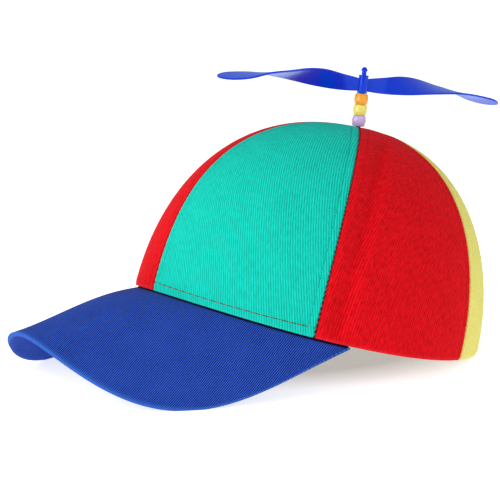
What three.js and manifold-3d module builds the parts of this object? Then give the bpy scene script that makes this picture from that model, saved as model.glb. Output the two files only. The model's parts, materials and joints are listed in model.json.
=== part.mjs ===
// A propeller cap: a cotton crown of six gores, a curved peak and a propeller that spins on a beaded pin.
// Millimetres and degrees, +Z up. The wearer faces -Y, with their left at +X. The cap stands as it does on a
// table, on the two side edges of its peak and the back of its rim, so its crown is tipped back.

import * as THREE from 'three';
import { mergeVertices } from 'three/addons/utils/BufferGeometryUtils.js';
import Module from 'manifold-3d';

const wasm = await Module();
wasm.setup();
const { abs, acos, asin, cos, exp, hypot, max, min, sin, sqrt, PI } = Math;
const radians = THREE.MathUtils.degToRad;
const lerp = THREE.MathUtils.lerp;

// Cloth
const WALL = 1.6;                 // cotton twill with its seam tapes
const GAP = 0.3;                  // clearance between neighbouring pieces

// Crown, in its own frame: rim centre at the origin and the head's axis along +Z
const RIM_FRONT = 101;            // from the rim's centre to the forehead
const RIM_BACK = 96.4;            // to the nape
const RIM_SIDE = 86.9;            // to each ear
const RIM_FRONT_DROP = 0.4;       // how far the rim dips at the forehead
const RIM_SIDE_DROP = 7.5;        // and over the ears
const CROWN_HEIGHT = 105.3;
const CROWN_LEAN = 6.2;           // the top sits this far behind the rim's centre
const CROWN_TILT = 13.6;          // tipped back, as it stands
const RIM_CENTRE_Y = 28.4;        // with the origin under the middle of the whole cap
const RIM_CENTRE_Z = 22.3;
const PIN_HOLE_RADIUS = 2.2;      // where the gores meet round the pin

// How full the profile is towards each side, as powers of an ellipse: below 1 is fuller
const FULLNESS = {
  front: { reach: 0.86, rise: 0.86 },
  side: { reach: 0.84, rise: 0.98 },
  back: { reach: 0.87, rise: 0.985 },
};

// A gore is flatter across than a round crown, most of all near the top
const GORE_FLAT_RIM = 0.01;
const GORE_FLAT_TOP = 0.285;
const GORE_ROWS = 16;
const SEAM_BOW_HIGH = 1.5;        // above 1, a seam bows most in its upper half

const CLOTH = { green: 0x10b49c, red: 0xc81420, yellow: 0xe0da80, blue: 0x1c3c9c };

// The gores, round from the front towards the wearer's left. Each one starts at a seam, which leaves the rim
// at an angle called its foot and bows sideways on its way up.
const GORES = [
  { name: 'front_left', foot: -2.5, bow: -5, columns: 12, cloth: 'green' },
  { name: 'side_left', foot: 60, bow: 0.4, columns: 26, cloth: 'red' },
  { name: 'back_left', foot: 118, bow: 1.5, columns: 12, cloth: 'yellow' },
  { name: 'back_right', foot: 180, bow: 0, columns: 12, cloth: 'green' },
  { name: 'side_right', foot: 242, bow: -1.5, columns: 12, cloth: 'yellow' },
  { name: 'front_right', foot: 300, bow: -0.4, columns: 12, cloth: 'red' },
];

// Folds that run up a gore beside its first seam: how far from the seam at the rim and at the top, how deep
// they are and how wide. A fold with less than no depth is a ridge.
const FOLDS = [
  { gore: 'side_left', foot: 7.3, top: 11, depth: 1.8, width: 3.6 },
  { gore: 'side_left', foot: 2.8, top: 4.2, depth: -0.5, width: 2.4 },
  { gore: 'side_left', foot: 15, top: 20, depth: -0.6, width: 5 },
];

// Peak, a cloth-covered board
const PEAK_THICKNESS = 3.2;
const PEAK_CORNER_THICKNESS = 1.2; // the board is skived thin where it runs out
const PEAK_SKIVING = 6;           // power of the skiving, which keeps it near the corners
const PEAK_END = 71;              // where its corners meet the rim, from the front
const PEAK_LENGTH = 78;           // straight out from the forehead
const PEAK_DROOP = 9.6;
const PEAK_BULGE = 0.8;           // how far its sides swell beyond its corners
const PEAK_SQUARENESS = 0.68;     // power of its outline, below 1 is squarer
const PEAK_CURL = 24.5;           // how far its sides hang below a flat board
const PEAK_CURL_SIDE = 1.82;      // powers that place the lowest point along the lip
const PEAK_CURL_FRONT = 0.76;
const PEAK_SWELL = 4;             // rise of the top between the rim and the lip
const SWELL_SCALE = 27 / 4;       // makes along * (1 - along) ** 2 reach 1 at its highest
const PEAK_TUCK = 2.4;            // reach under the crown's wall, where it is sewn
const PEAK_COLUMNS = 44;
const PEAK_ROWS = 8;

// Pin, beads and propeller, along the pin from the top of the crown
const PIN_LEAN = 7.2;             // from upright, towards the back
const PIN_RADIUS = 1.3;
const PIN_FLANGE_RADIUS = 6;      // stops the pin from pulling through the crown
const PIN_FLANGE_THICKNESS = 1.2;
const PIN_FLANGE_DEPTH = 2.9;     // its upper face lies this far below the top of the crown
const PIN_TIP_RADIUS = 1.9;
const PIN_TIP_BASE = 30.7;
const PIN_TIP_HEIGHT = 2.1;
const PIN_TIP_STEPS = 4;
const BEAD_RADIUS = 3.85;
const BEAD_HEIGHT = 5.65;
const BEAD_PITCH = 5.95;
const BEAD_FIRST = 0.45;          // underside of the lowest bead
const BEAD_END_RADIUS = 2.8;      // the barrel narrows to this at its ends
const BEAD_ARC_STEPS = 6;
const BORE_RADIUS = 1.6;          // through the beads and the hub
const HUB_RADIUS = 2.75;
const HUB_BASE = 18.4;
const HUB_HEIGHT = 10;
const ROUND_SIDES = 14;

const BEADS = [
  { name: 'bead_lilac', colour: 0xd1bddf },
  { name: 'bead_yellow', colour: 0xece37e },
  { name: 'bead_orange', colour: 0xf9bb40 },
];

// Blade sections out from the hub's centre: where, how wide, how steeply pitched and how far up the pin
const BLADE_SECTIONS = [
  { at: 0, width: 6.4, pitch: 90, rise: -0.4 },
  { at: 13, width: 9.4, pitch: 66, rise: 0.2 },
  { at: 25, width: 12.5, pitch: 49, rise: 1.3 },
  { at: 37, width: 14.8, pitch: 30, rise: 1.8 },
  { at: 48, width: 15.4, pitch: 15, rise: 1.4 },
  { at: 59, width: 15, pitch: 4, rise: 0.8 },
  { at: 72, width: 12.6, pitch: -12, rise: -1.5 },
  { at: 87, width: 9, pitch: -19, rise: -3.4 },
];
const BLADE_REACH = 87;
const BLADE_THICKNESS = 1;
const BLADE_TIP = 9;              // length of the rounded end
const BLADE_TIP_LEAST = 0.25;     // share of the width left at the very end
const BLADE_TURN = 82;            // which way the blades point, as it stands
const BLADE_COLUMNS = 64;
const BLADE_ROWS = 4;

const FOLD_FADE = 4;              // power with which the folds die out towards the top
const STEP = 1e-3;                // small change of a surface coordinate, for slopes
const MERGE_WITHIN = 1e-5;        // corners closer than this are one
const FLOOR_BLOCK = 600;          // a block of space above the table

const PIN_COLOUR = 0x2a50b0;
const PROPELLER_COLOUR = 0x1838b8;
const ROUGHNESS = { cloth: 0.9, pin: 0.35, bead: 0.25, propeller: 0.3 };

// Solids from closed three.js geometry, and back
function solidOf(geometry) {
  const bare = geometry.clone();
  bare.deleteAttribute('normal');
  bare.deleteAttribute('uv');
  const merged = mergeVertices(bare, MERGE_WITHIN);
  const corners = merged.index.array;
  const kept = [];
  for (let i = 0; i < corners.length; i += 3) {
    const [a, b, c] = [corners[i], corners[i + 1], corners[i + 2]];
    if (a !== b && b !== c && c !== a) kept.push(a, b, c);
  }
  const vertProperties = new Float32Array(merged.attributes.position.array);
  const triVerts = new Uint32Array(kept);
  return new wasm.Manifold(new wasm.Mesh({ numProp: 3, vertProperties, triVerts }));
}

function geometryOf(solid) {
  const mesh = solid.getMesh();
  const geometry = new THREE.BufferGeometry();
  geometry.setAttribute('position', new THREE.BufferAttribute(new Float32Array(mesh.vertProperties), 3));
  geometry.setIndex(new THREE.BufferAttribute(new Uint32Array(mesh.triVerts), 1));
  geometry.computeVertexNormals();
  return geometry;
}

// A block of cells, bent so that its corner (u, v, w), each from 0 to 1, lands where place puts it
function bentBlock(columns, rows, place) {
  const block = new THREE.BoxGeometry(1, 1, 1, columns, rows, 1);
  const position = block.attributes.position;
  for (let i = 0; i < position.count; i += 1) {
    const point = place(position.getX(i) + 0.5, position.getY(i) + 0.5, position.getZ(i) + 0.5);
    position.setXYZ(i, point.x, point.y, point.z);
  }
  return block;
}

// A round piece about +Z, from a closed outline of radius and height
function turned(outline) {
  return new THREE.LatheGeometry(outline, ROUND_SIDES).rotateX(PI / 2);
}

// What a piece keeps above the table, flat where it rests
function flattenedWhereItRests(geometry) {
  const space = new THREE.BoxGeometry(FLOOR_BLOCK, FLOOR_BLOCK, FLOOR_BLOCK);
  space.translate(0, 0, FLOOR_BLOCK / 2);
  return geometryOf(solidOf(geometry).intersect(solidOf(space)));
}

function namedMesh(name, geometry, color, roughness) {
  const mesh = new THREE.Mesh(geometry, new THREE.MeshStandardMaterial({ color, roughness, metalness: 0 }));
  mesh.name = name;
  return mesh;
}

// Crown
const crownPlace = new THREE.Matrix4().makeRotationX(-radians(CROWN_TILT));
crownPlace.setPosition(0, RIM_CENTRE_Y, RIM_CENTRE_Z);

function fullness(theta, kind) {
  const ahead = cos(theta);
  const end = ahead > 0 ? FULLNESS.front : FULLNESS.back;
  return lerp(FULLNESS.side[kind], end[kind], ahead ** 2);
}

function rimPoint(theta) {
  const ahead = cos(theta);
  const reach = ahead > 0 ? RIM_FRONT : RIM_BACK;
  const drop = RIM_FRONT_DROP * max(ahead, 0) ** 2 + RIM_SIDE_DROP * sin(theta) ** 2;
  return new THREE.Vector3(RIM_SIDE * sin(theta), -reach * ahead, -drop);
}

function rimRadius(theta) {
  const rim = rimPoint(theta);
  return hypot(rim.x, rim.y);
}

// A point of the crown: theta round from the front, climb from 0 at the rim to 1 at the top
function crownPoint(theta, climb, flattening = 1) {
  const reach = flattening * cos(climb * PI / 2) ** fullness(theta, 'reach');
  const rise = sin(climb * PI / 2) ** fullness(theta, 'rise');
  const rim = rimPoint(theta);
  const point = new THREE.Vector3(
    rim.x * reach,
    rim.y * reach + CROWN_LEAN * rise,
    lerp(rim.z, CROWN_HEIGHT, rise),
  );
  return point.applyMatrix4(crownPlace);
}

function crownNormal(theta, climb) {
  const round = crownPoint(theta + STEP, climb).sub(crownPoint(theta - STEP, climb));
  const up = crownPoint(theta, climb + STEP).sub(crownPoint(theta, max(climb - STEP, 0)));
  return round.cross(up).normalize();
}

// The climb at which the crown has narrowed to the pin's hole
function climbToHole(theta) {
  const narrowing = (PIN_HOLE_RADIUS / rimRadius(theta)) ** (1 / fullness(theta, 'reach'));
  return acos(narrowing) / (PI / 2);
}

function seamAngle(gore, climb) {
  return radians(gore.foot + gore.bow * sin(PI * climb ** SEAM_BOW_HIGH));
}

function foldHeight(gore, fromSeam, climb) {
  let height = 0;
  for (const fold of FOLDS) {
    if (fold.gore === gore.name) {
      const away = (fromSeam - lerp(fold.foot, fold.top, climb)) / fold.width;
      height -= fold.depth * exp(-(away ** 2)) * (1 - climb ** FOLD_FADE);
    }
  }
  return height;
}

function goreWall(index) {
  const gore = GORES[index];
  const last = index === GORES.length - 1;
  const next = GORES[last ? 0 : index + 1];
  const turn = last ? 2 * PI : 0;
  return bentBlock(gore.columns, GORE_ROWS, (u, v, w) => {
    const climb = v * climbToHole(radians(lerp(gore.foot, next.foot + (last ? 360 : 0), u)));
    const start = seamAngle(gore, climb);
    const end = seamAngle(next, climb) + turn;
    const middle = (start + end) / 2;
    const radius = rimRadius(middle) * cos(climb * PI / 2) ** fullness(middle, 'reach');
    const margin = asin(GAP / 2 / radius);
    const theta = lerp(start + margin, end - margin, u);
    const chord = cos((end - start) / 2) / cos(theta - middle);
    const flat = lerp(GORE_FLAT_RIM, GORE_FLAT_TOP, climb);
    const height = foldHeight(gore, (theta - start) * radius, climb) - WALL * (1 - w);
    const point = crownPoint(theta, climb, 1 - flat * (1 - chord));
    return point.addScaledVector(crownNormal(theta, climb), height);
  });
}

// Peak
const belowRim = new THREE.Vector3(0, 0, -GAP);
const peakCorner = rimPoint(radians(PEAK_END)).add(belowRim).applyMatrix4(crownPlace);
const peakMiddle = rimPoint(0).add(belowRim).applyMatrix4(crownPlace);
const curlPlace = PEAK_CURL_SIDE / (PEAK_CURL_SIDE + PEAK_CURL_FRONT);
const curlMost = sqrt(curlPlace) ** PEAK_CURL_SIDE * sqrt(1 - curlPlace) ** PEAK_CURL_FRONT;

// The lip, with across from -1 at the right corner to 1 at the left one
function lipPoint(across) {
  const side = sin(across * PI / 2);
  const ahead = max(cos(across * PI / 2), 0);
  const frontY = peakMiddle.y - PEAK_LENGTH * cos(radians(PEAK_DROOP));
  const frontZ = peakMiddle.z - PEAK_LENGTH * sin(radians(PEAK_DROOP));
  const curl = PEAK_CURL * abs(side) ** PEAK_CURL_SIDE * ahead ** PEAK_CURL_FRONT / curlMost;
  return new THREE.Vector3(
    peakCorner.x * side + 2 * PEAK_BULGE * side * ahead,
    lerp(peakCorner.y, frontY, ahead ** PEAK_SQUARENESS),
    lerp(frontZ, peakCorner.z, side ** 2) - curl,
  );
}

function sewnPoint(across) {
  const theta = across * radians(PEAK_END);
  const inwards = 1 - PEAK_TUCK / rimRadius(theta);
  const rim = rimPoint(theta);
  return new THREE.Vector3(rim.x * inwards, rim.y * inwards, rim.z - GAP).applyMatrix4(crownPlace);
}

// The peak's upper face, with along from 0 where it is sewn to 1 at the lip
function peakTop(across, along) {
  const point = sewnPoint(across).lerp(lipPoint(across), along);
  point.z += PEAK_SWELL * SWELL_SCALE * along * (1 - along) ** 2 * max(cos(across * PI / 2), 0);
  return point;
}

function peakNormal(across, along) {
  const sideways = peakTop(min(across + STEP, 1), along).sub(peakTop(max(across - STEP, -1), along));
  const outwards = peakTop(across, along + STEP).sub(peakTop(across, along - STEP));
  return outwards.cross(sideways).normalize();
}

function peakBoard() {
  return bentBlock(PEAK_COLUMNS, PEAK_ROWS, (u, v, w) => {
    const across = 2 * u - 1;
    const thickness = lerp(PEAK_THICKNESS, PEAK_CORNER_THICKNESS, across ** PEAK_SKIVING);
    return peakTop(across, v).addScaledVector(peakNormal(across, v), -w * thickness);
  });
}

// Pin and beads
function pinOutline() {
  const flangeTop = -PIN_FLANGE_DEPTH;
  const flangeBase = flangeTop - PIN_FLANGE_THICKNESS;
  const outline = [
    new THREE.Vector2(0, flangeBase),
    new THREE.Vector2(PIN_FLANGE_RADIUS, flangeBase),
    new THREE.Vector2(PIN_FLANGE_RADIUS, flangeTop),
    new THREE.Vector2(PIN_RADIUS, flangeTop),
    new THREE.Vector2(PIN_RADIUS, PIN_TIP_BASE),
  ];
  for (let i = 0; i <= PIN_TIP_STEPS; i += 1) {
    const angle = i / PIN_TIP_STEPS * PI / 2;
    outline.push(new THREE.Vector2(PIN_TIP_RADIUS * cos(angle), PIN_TIP_BASE + PIN_TIP_HEIGHT * sin(angle)));
  }
  outline[outline.length - 1].x = 0;
  return outline;
}

function beadOutline() {
  const half = BEAD_HEIGHT / 2;
  const shape = new THREE.Shape();
  shape.moveTo(BORE_RADIUS, -half);
  shape.lineTo(BEAD_END_RADIUS, -half);
  shape.quadraticCurveTo(2 * BEAD_RADIUS - BEAD_END_RADIUS, 0, BEAD_END_RADIUS, half);
  shape.lineTo(BORE_RADIUS, half);
  shape.lineTo(BORE_RADIUS, -half);
  return shape.getPoints(BEAD_ARC_STEPS);
}

// Propeller, with its blades along the X axis
function bladeSection() {
  const places = BLADE_SECTIONS.map((section) => section.at);
  const values = BLADE_SECTIONS.flatMap((section) => [section.width, section.pitch, section.rise]);
  const smooth = new THREE.CubicInterpolant(places, values, values.length / places.length);
  return (at) => {
    const [width, pitch, rise] = smooth.evaluate(at);
    const beyond = max(at - (BLADE_REACH - BLADE_TIP), 0) / BLADE_TIP;
    const narrowing = max(sqrt(max(1 - beyond ** 2, 0)), BLADE_TIP_LEAST);
    return { width: width * narrowing, pitch: radians(pitch), rise };
  };
}

function propellerSolid() {
  const section = bladeSection();
  const blades = bentBlock(BLADE_COLUMNS, BLADE_ROWS, (u, v, w) => {
    const at = (2 * u - 1) * BLADE_REACH;
    const { width, pitch, rise } = section(abs(at));
    const level = at < 0 ? -cos(pitch) : cos(pitch);
    const chord = new THREE.Vector3(0, level, sin(pitch));
    const normal = new THREE.Vector3(0, -sin(pitch), level);
    const point = new THREE.Vector3(at, 0, rise);
    point.addScaledVector(chord, (v - 0.5) * width);
    return point.addScaledVector(normal, (w - 0.5) * BLADE_THICKNESS);
  });
  const hub = new THREE.CylinderGeometry(HUB_RADIUS, HUB_RADIUS, HUB_HEIGHT, ROUND_SIDES).rotateX(PI / 2);
  const boreLength = 2 * HUB_HEIGHT;
  const bore = new THREE.CylinderGeometry(BORE_RADIUS, BORE_RADIUS, boreLength, ROUND_SIDES).rotateX(PI / 2);
  return geometryOf(solidOf(blades).add(solidOf(hub)).subtract(solidOf(bore)));
}

// The whole cap
const cap = new THREE.Group();

for (const [index, gore] of GORES.entries()) {
  const wall = flattenedWhereItRests(goreWall(index));
  cap.add(namedMesh(`crown_panel_${gore.name}`, wall, CLOTH[gore.cloth], ROUGHNESS.cloth));
}

cap.add(namedMesh('peak', flattenedWhereItRests(peakBoard()), CLOTH.blue, ROUGHNESS.cloth));

const pinGroup = new THREE.Group();
pinGroup.position.copy(crownPoint(0, 1));
pinGroup.rotation.x = -radians(PIN_LEAN);
cap.add(pinGroup);

const pin = geometryOf(solidOf(turned(pinOutline())));
pinGroup.add(namedMesh('pin', pin, PIN_COLOUR, ROUGHNESS.pin));

for (const [index, bead] of BEADS.entries()) {
  const barrel = geometryOf(solidOf(turned(beadOutline())));
  const mesh = namedMesh(bead.name, barrel, bead.colour, ROUGHNESS.bead);
  mesh.position.z = BEAD_FIRST + index * BEAD_PITCH + BEAD_HEIGHT / 2;
  pinGroup.add(mesh);
}

const propeller = namedMesh('propeller', propellerSolid(), PROPELLER_COLOUR, ROUGHNESS.propeller);
propeller.position.z = HUB_BASE + HUB_HEIGHT / 2;
propeller.rotation.z = radians(BLADE_TURN);
pinGroup.add(propeller);

export default cap;
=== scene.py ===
# %% [markdown]
# # A propeller cap
#
# The cap is a dome of cotton gores with a stiff curved peak. A pin through its top carries a stack of beads
# and a propeller that spins. The solids already have the right sizes and places, so each step below remakes
# one of them as a smooth mesh in the same place, and gives it the finish of the real thing.

# %% Load the solids
import json
import math

import bmesh
import bpy
from mathutils import Matrix, Vector


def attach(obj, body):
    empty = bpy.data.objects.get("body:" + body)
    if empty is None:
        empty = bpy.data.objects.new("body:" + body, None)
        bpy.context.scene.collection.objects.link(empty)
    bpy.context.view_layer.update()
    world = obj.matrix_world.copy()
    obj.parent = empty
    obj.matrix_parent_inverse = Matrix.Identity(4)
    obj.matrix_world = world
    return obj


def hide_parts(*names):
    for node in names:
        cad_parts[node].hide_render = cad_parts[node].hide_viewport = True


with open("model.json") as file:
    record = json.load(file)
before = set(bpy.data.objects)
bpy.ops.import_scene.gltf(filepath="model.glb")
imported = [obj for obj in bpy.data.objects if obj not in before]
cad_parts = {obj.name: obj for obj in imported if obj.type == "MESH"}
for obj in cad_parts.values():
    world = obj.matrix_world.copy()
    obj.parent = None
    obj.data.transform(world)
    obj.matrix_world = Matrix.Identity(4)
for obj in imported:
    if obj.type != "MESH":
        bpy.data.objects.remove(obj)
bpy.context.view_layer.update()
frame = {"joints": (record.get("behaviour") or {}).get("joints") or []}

MM = 0.001

# %% [markdown]
# ## Helpers for meshes
#
# Every piece is shaped in a bmesh, which is a mesh that operators can edit. When it is done it becomes an
# object at the origin, so its place is in its vertices. It rides on a body of the cap, and most pieces
# stand for a solid. An operator returns all that it made, so one helper picks the vertices out of that, and
# another rounds edges with a bevel.


# %% Turn a bmesh into a piece of the cap
def lerp(start, end, share):
    return start + (end - start) * share


def verts_in(made):
    return [item for item in made["geom"] if isinstance(item, bmesh.types.BMVert)]


def rounded(bm, edges, radius, segments):
    bmesh.ops.bevel(
        bm, geom=edges, offset=radius, offset_type="OFFSET", affect="EDGES", segments=segments, profile=0.5,
        material=-1, clamp_overlap=True,
    )


def piece_from(name, bm, material, body, replaced=None, sharp_above=40):
    mesh = bpy.data.meshes.new(name)
    bm.to_mesh(mesh)
    bm.free()
    mesh.materials.append(material)
    mesh.shade_smooth()
    mesh.set_sharp_from_angle(angle=math.radians(sharp_above))
    piece = bpy.data.objects.new(name, mesh)
    bpy.context.scene.collection.objects.link(piece)
    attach(piece, body)
    if replaced:
        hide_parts(replaced)
    print(name, len(mesh.polygons), "faces")
    return piece


# %% [markdown]
# ## Helpers for materials
#
# Colours are picked as the hex values that a screen shows, and a shader works with linear light, so one
# function turns the first into the second. Another adds a node, sets it up and links it, which keeps the
# recipes short. A Mix node has sockets for every kind of value: 2 and 3 are its numbers, 6 and 7 its
# colours. A wave texture of scale 1 has bands that are a tenth of pi apart, so its scale comes from the
# real distance between them.


# %% Colours and nodes
def linear(hex_colour):
    parts = [int(hex_colour[i:i + 2], 16) / 255 for i in (1, 3, 5)]
    return [c / 12.92 if c <= 0.04045 else ((c + 0.055) / 1.055) ** 2.4 for c in parts] + [1.0]


def add_node(tree, kind, inputs=None, **settings):
    made = tree.nodes.new(kind)
    for name, value in settings.items():
        setattr(made, name, value)
    for key, value in (inputs or {}).items():
        if isinstance(value, bpy.types.NodeSocket):
            tree.links.new(value, made.inputs[key])
        else:
            made.inputs[key].default_value = value
    return made


def new_material(name):
    material = bpy.data.materials.new(name)
    material.use_nodes = True
    tree = material.node_tree
    return material, tree, tree.nodes["Principled BSDF"]


BANDS_AT_SCALE_ONE = math.pi / 10


def wave_scale(pitch):
    return BANDS_AT_SCALE_ONE / pitch


# %% [markdown]
# ## Cotton twill
#
# The crown and the peak are cotton twill, dyed in the piece. Twill is woven so that each thread floats over
# two or three others, one step along in each row, and that draws fine slanted ribs. The eye sees a matt
# cloth with close, slightly uneven ribs, small changes of tone, and paler cloth where a seam, a hem or the
# lip turns over, which is partly rubbed and partly a painted highlight for the light its edge catches. Real
# ribs are about 0.7 mm apart, and they are drawn up to twice as coarse here, because finer ones would not
# show in the picture. The ribs run along the V axis of each piece's own UV map, which is in metres of
# cloth, so they bend with it. Slubs, which are thicker places in the yarn, break the ribs up, more in one
# cloth than in another. One attribute says how much paler the cloth is made, for rubbing and painted
# highlight together, and another says where painted shade darkens it in the groove of a seam.

# %% Twill in any colour
FUZZ_SIZE = 0.3 * MM
BLOTCH_SIZE = 16 * MM
RIB_DEPTH = 0.2 * MM
RIB_WAVER = 1.6
WAVER_SCALE = 1.1
SLUB_LENGTH = 2.5
FUZZ_SHARE = 0.15
BLOTCH_SHARE = 0.15
DARKEST_AT = 0.32
LIGHTEST_AT = 0.68
# Near black: the painted shade in the groove of a seam and along the peak's sewn edge
PAINTED_SHADE_TONE = "#0a0509"


def cotton_twill(name, light, dark, rubbed_and_highlit, pitch, uneven):
    material, tree, shader = new_material(name)
    cloth = add_node(tree, "ShaderNodeUVMap", uv_map="cloth").outputs["UV"]
    # How much paler the cloth is (rubbing and painted highlight), and where painted shade darkens it
    wear_and_highlight = add_node(tree, "ShaderNodeAttribute", attribute_name="wear_and_highlight").outputs["Fac"]
    painted_shade = add_node(tree, "ShaderNodeAttribute", attribute_name="painted_shade").outputs["Fac"]
    ribs = add_node(
        tree, "ShaderNodeTexWave",
        {
            "Vector": cloth, "Scale": wave_scale(pitch),
            "Distortion": RIB_WAVER, "Detail": 2.0, "Detail Scale": WAVER_SCALE,
        },
        bands_direction="X",
    ).outputs["Fac"]
    drawn_out = add_node(tree, "ShaderNodeMapping", {"Vector": cloth, "Scale": (1, 1 / SLUB_LENGTH, 1)})
    slubs = add_node(
        tree, "ShaderNodeTexNoise",
        {"Vector": drawn_out.outputs["Vector"], "Scale": 1 / pitch, "Detail": 1.0},
    ).outputs["Fac"]
    fuzz = add_node(
        tree, "ShaderNodeTexNoise", {"Vector": cloth, "Scale": 1 / FUZZ_SIZE, "Detail": 2.0}
    ).outputs["Fac"]
    blotches = add_node(
        tree, "ShaderNodeTexNoise", {"Vector": cloth, "Scale": 1 / BLOTCH_SIZE, "Detail": 3.0}
    ).outputs["Fac"]
    woven = add_node(tree, "ShaderNodeMix", {0: uneven, 2: ribs, 3: slubs}, data_type="FLOAT").outputs[0]
    hairy = add_node(tree, "ShaderNodeMix", {0: FUZZ_SHARE, 2: woven, 3: fuzz}, data_type="FLOAT").outputs[0]
    toned = add_node(
        tree, "ShaderNodeMix", {0: BLOTCH_SHARE, 2: hairy, 3: blotches}, data_type="FLOAT"
    ).outputs[0]
    depth = add_node(
        tree, "ShaderNodeMapRange", {"Value": toned, "From Min": DARKEST_AT, "From Max": LIGHTEST_AT}
    ).outputs[0]
    dyed = add_node(tree, "ShaderNodeMix", {0: depth, 6: linear(dark), 7: linear(light)}, data_type="RGBA")
    # Paler towards the rubbed tone, which is partly rubbing and partly painted highlight
    worn_and_highlit = add_node(tree, "ShaderNodeMix", {0: wear_and_highlight, 6: dyed.outputs[2], 7: linear(rubbed_and_highlit)}, data_type="RGBA")
    # Painted shade: the colour goes dark where the cloth dives into a seam
    colour = add_node(
        tree, "ShaderNodeMix", {0: painted_shade, 6: worn_and_highlit.outputs[2], 7: linear(PAINTED_SHADE_TONE)}, data_type="RGBA"
    ).outputs[2]
    bump = add_node(tree, "ShaderNodeBump", {"Height": hairy, "Strength": 0.5, "Distance": RIB_DEPTH})
    tree.links.new(colour, shader.inputs["Base Color"])
    tree.links.new(bump.outputs["Normal"], shader.inputs["Normal"])
    shader.inputs["Roughness"].default_value = 0.9
    shader.inputs["Specular IOR Level"].default_value = 0.06
    shader.inputs["Sheen Weight"].default_value = 0.02
    shader.inputs["Sheen Roughness"].default_value = 0.5
    return material


# Light and dark tones of the ribs, a paler tone for rubbing and painted highlight, rib pitch and unevenness
TWILL = {
    "green": cotton_twill("cotton_twill_green", "#17d2bd", "#0ba492", "#2fd2ba", 1.4 * MM, 0.5),
    "red": cotton_twill("cotton_twill_red", "#ec0e1c", "#b0040d", "#f03c48", 1.25 * MM, 0.7),
    "yellow": cotton_twill("cotton_twill_yellow", "#eee886", "#d4cc66", "#f2eeb0", 1.15 * MM, 0.5),
    "blue": cotton_twill("cotton_twill_blue", "#325cca", "#041054", "#3f7ace", 1.0 * MM, 0.25),
}
print("twill:", ", ".join(TWILL))

# %% [markdown]
# ## The crown's shape
#
# All six gores lie on one dome. It could be sculpted, but a formula is easier to keep smooth: round the rim
# an angle runs from the forehead towards the wearer's left ear, and a climb runs from 0 at the rim to 1 at
# the top. The rim is a pair of half ellipses that dips over the ears, and powers of an ellipse make the
# profile fuller. The whole dome is then tipped back, as the cap stands on a table.

# %% Sizes of the crown
WALL = 1.6 * MM
GAP = 0.3 * MM
RIM_FRONT = 101 * MM
RIM_BACK = 96.4 * MM
RIM_SIDE = 86.9 * MM
RIM_FRONT_DROP = 0.4 * MM
RIM_SIDE_DROP = 7.5 * MM
CROWN_HEIGHT = 105.3 * MM
CROWN_LEAN = 6.2 * MM
CROWN_TILT = math.radians(13.6)
RIM_CENTRE = Vector((0, 28.4 * MM, 22.3 * MM))
PIN_HOLE_RADIUS = 2.2 * MM
FULLNESS = {
    "front": {"reach": 0.86, "rise": 0.86},
    "side": {"reach": 0.84, "rise": 0.98},
    "back": {"reach": 0.87, "rise": 0.985},
}
CROWN_PLACE = Matrix.Translation(RIM_CENTRE) @ Matrix.Rotation(-CROWN_TILT, 4, "X")


# %% Points of the crown
def fullness(theta, kind):
    ahead = math.cos(theta)
    end = FULLNESS["front" if ahead > 0 else "back"]
    return lerp(FULLNESS["side"][kind], end[kind], ahead**2)


def rim_point(theta):
    ahead = math.cos(theta)
    reach = RIM_FRONT if ahead > 0 else RIM_BACK
    drop = RIM_FRONT_DROP * max(ahead, 0) ** 2 + RIM_SIDE_DROP * math.sin(theta) ** 2
    return Vector((RIM_SIDE * math.sin(theta), -reach * ahead, -drop))


def rim_radius(theta):
    return rim_point(theta).xy.length


def crown_point(theta, climb, flattening=1.0):
    quarter = climb * math.pi / 2
    reach = flattening * max(math.cos(quarter), 0) ** fullness(theta, "reach")
    rise = math.sin(quarter) ** fullness(theta, "rise")
    rim = rim_point(theta)
    height = lerp(rim.z, CROWN_HEIGHT, rise)
    return CROWN_PLACE @ Vector((rim.x * reach, rim.y * reach + CROWN_LEAN * rise, height))


def climb_to_hole(theta):
    narrowing = (PIN_HOLE_RADIUS / rim_radius(theta)) ** (1 / fullness(theta, "reach"))
    return math.acos(narrowing) / (math.pi / 2)


CROWN_TOP = crown_point(0, 1)
print("top of the crown in mm:", [round(c / MM, 1) for c in CROWN_TOP])

# %% [markdown]
# ## The gores
#
# A gore is a flat triangle of cloth until it is sewn. Between its seams it stays flatter than the round
# dome, and the seams bow a little. Beside a seam the cloth rolls down into the stitching, and slack cloth
# stands up in soft folds. Each gore starts as a grid with its columns crowded towards the seams, which is
# bent onto the dome and then raised or lowered along its own normals. A Solidify modifier gives it the
# thickness of the cloth.

# %% Sizes of the gores
GORE_FLAT_RIM = 0.01
GORE_FLAT_TOP = 0.285
SEAM_BOW_HIGH = 1.5
GORE_COLUMNS = 72
GORE_ROWS = 200
CROWDING = 0.86
ROW_CROWDING = 0.35
SEAM_LAP = 0.1 * MM
SEAM_ROLL = 1.5 * MM
SEAM_ROLL_WIDTH = 0.6 * MM
SEAM_STITCH = 2.6 * MM
SEAM_SCALLOP = 0.45
ROLL_NEEDS = 12 * MM
HEM_ROLL = 0.45 * MM
HEM_ROLL_WIDTH = 0.9 * MM
# Paler cloth beside the seams and at the hem: partly rubbing, partly a painted highlight on the turned edge
WEAR_AND_HIGHLIGHT_WIDTH = 0.8 * MM
SEAM_WEAR_AND_HIGHLIGHT = 0.12
HEM_WEAR_AND_HIGHLIGHT = 0.3
# Painted shade along each seam: how wide it is, and how light it gets between stitches
PAINTED_SHADE_WIDTH = 0.3 * MM
PAINTED_SHADE_LEAST = 0.25
TOPSTITCH_FROM_SEAM = 4.5 * MM
TOPSTITCH_DIP = 0.3 * MM
TOPSTITCH_DIP_WIDTH = 0.9 * MM
FOLD_FADE = 4
FOLD_ABOVE_HEM = 3 * MM

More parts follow.
